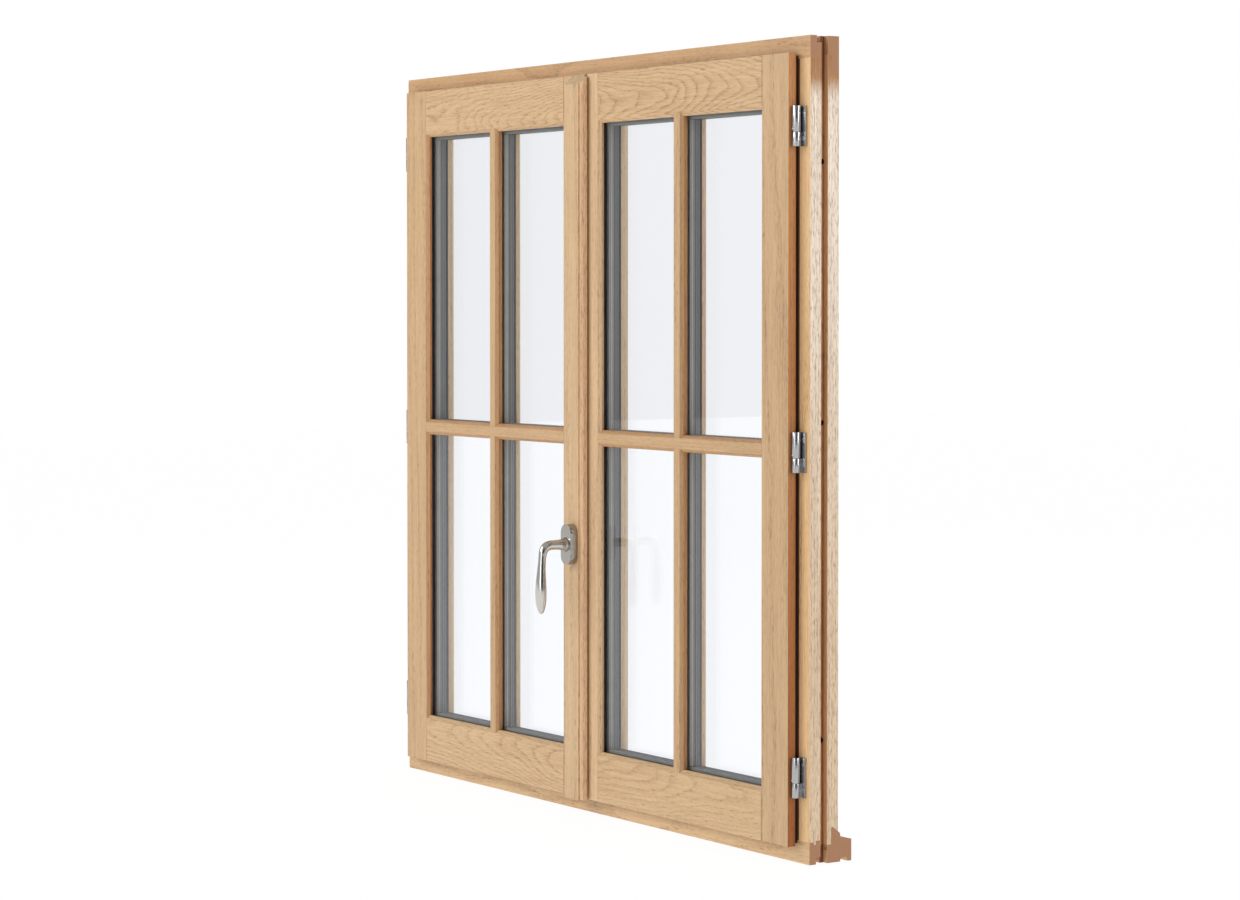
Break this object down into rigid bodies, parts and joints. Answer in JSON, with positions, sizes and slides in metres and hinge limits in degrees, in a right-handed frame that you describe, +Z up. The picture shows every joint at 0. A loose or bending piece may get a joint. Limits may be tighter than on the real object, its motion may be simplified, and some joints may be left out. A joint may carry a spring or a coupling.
{
  "type": "casement window",
  "caption": "Double oak casement window opening inwards, with glazing bars, insulating glass, barrel hinges and a lever handle that drives lock rods.",
  "frame": {"origin": "bottom centre of the fixed frame, at its room face", "axes": "+Z up, +X to the right as seen from the room, +Y towards the outside"},
  "size_m": [1.2, 0.1859, 1.25],
  "materials": {
    "oak": "clear satin lacquer",
    "glass": "clear float glass",
    "spacer": "dark grey matt",
    "gasket": "black glazing seal",
    "frame_seal": "soft dark seal",
    "satin_steel": "satin",
    "satin_nickel": "satin nickel",
    "zinc_steel": "zinc plated"
  },
  "bodies": {
    "frame": {"sill": "oak", "head": "oak", "right_jamb": "oak", "left_jamb": "oak", "inner_frame_seal": "frame_seal", "lip_seal": "frame_seal", "stop_seal": "frame_seal", "lock_keepers": "zinc_steel", "right_hinge_plates": "satin_steel", "left_hinge_plates": "satin_steel", "hinge_pins": "zinc_steel", "hinge_plate_screws": "zinc_steel"},
    "active_leaf": {"active_hinge_stile": "oak", "active_meeting_stile": "oak", "active_top_rail": "oak", "active_bottom_rail": "oak", "active_inner_muntin_bar": "oak", "active_inner_muntin_uprights": "oak", "active_outer_muntin_bar": "oak", "active_outer_muntin_uprights": "oak", "active_inner_glass": "glass", "active_outer_glass": "glass", "active_glass_spacer": "spacer", "active_inner_gasket": "gasket", "active_outer_gasket": "gasket", "active_glazing_beads": "oak", "active_weather_bar": "oak", "active_hinge_knuckles": "satin_steel", "active_hinge_grub_screws": "zinc_steel", "astragal": "oak", "handle_rosette": "satin_nickel", "rosette_screws": "zinc_steel", "gearbox_case": "zinc_steel", "faceplate": "zinc_steel"},
    "passive_leaf": {"passive_hinge_stile": "oak", "passive_meeting_stile": "oak", "passive_top_rail": "oak", "passive_bottom_rail": "oak", "passive_inner_muntin_bar": "oak", "passive_inner_muntin_uprights": "oak", "passive_outer_muntin_bar": "oak", "passive_outer_muntin_uprights": "oak", "passive_inner_glass": "glass", "passive_outer_glass": "glass", "passive_glass_spacer": "spacer", "passive_inner_gasket": "gasket", "passive_outer_gasket": "gasket", "passive_glazing_beads": "oak", "passive_weather_bar": "oak", "passive_hinge_knuckles": "satin_steel", "passive_hinge_grub_screws": "zinc_steel", "passive_outer_astragal": "oak", "flush_bolt_plates": "zinc_steel"},
    "handle": {"handle_spindle": "zinc_steel", "lever": "satin_nickel", "pinion": "zinc_steel"},
    "upper_rod": {"upper_lock_rod": "zinc_steel"},
    "lower_rod": {"lower_lock_rod": "zinc_steel"},
    "upper_bolt": {"upper_flush_bolt": "zinc_steel"},
    "lower_bolt": {"lower_flush_bolt": "zinc_steel"}
  },
  "joints": [
    {"name": "active_leaf_swing", "type": "hinge", "parent": "frame", "child": "active_leaf", "pos_m": [-0.579, -0.01, 0.6225], "axis": [0, 0, -1], "range_deg": [0, 110]},
    {"name": "passive_leaf_swing", "type": "hinge", "parent": "frame", "child": "passive_leaf", "pos_m": [0.579, -0.01, 0.6225], "axis": [0, 0, 1], "range_deg": [0, 99.5]},
    {"name": "handle_turn", "type": "hinge", "parent": "active_leaf", "child": "handle", "pos_m": [0, -0.05, 0.448], "axis": [0, 1, 0], "range_deg": [0, 90]},
    {"name": "upper_rod_slide", "type": "slide", "parent": "active_leaf", "child": "upper_rod", "axis": [0, 0, -1], "range_m": [0, 0.0126]},
    {"name": "lower_rod_slide", "type": "slide", "parent": "active_leaf", "child": "lower_rod", "axis": [0, 0, 1], "range_m": [0, 0.0126]},
    {"name": "upper_bolt_slide", "type": "slide", "parent": "passive_leaf", "child": "upper_bolt", "axis": [0, 0, -1], "range_m": [0, 0.012]},
    {"name": "lower_bolt_slide", "type": "slide", "parent": "passive_leaf", "child": "lower_bolt", "axis": [0, 0, 1], "range_m": [0, 0.012]}
  ],
  "couplings": [
    {"joint": "passive_leaf_swing", "follows": "active_leaf_swing", "ratio": 0.9},
    {"joint": "upper_rod_slide", "follows": "handle_turn", "m_per_rad": 0.008},
    {"joint": "lower_rod_slide", "follows": "handle_turn", "m_per_rad": 0.008}
  ]
}
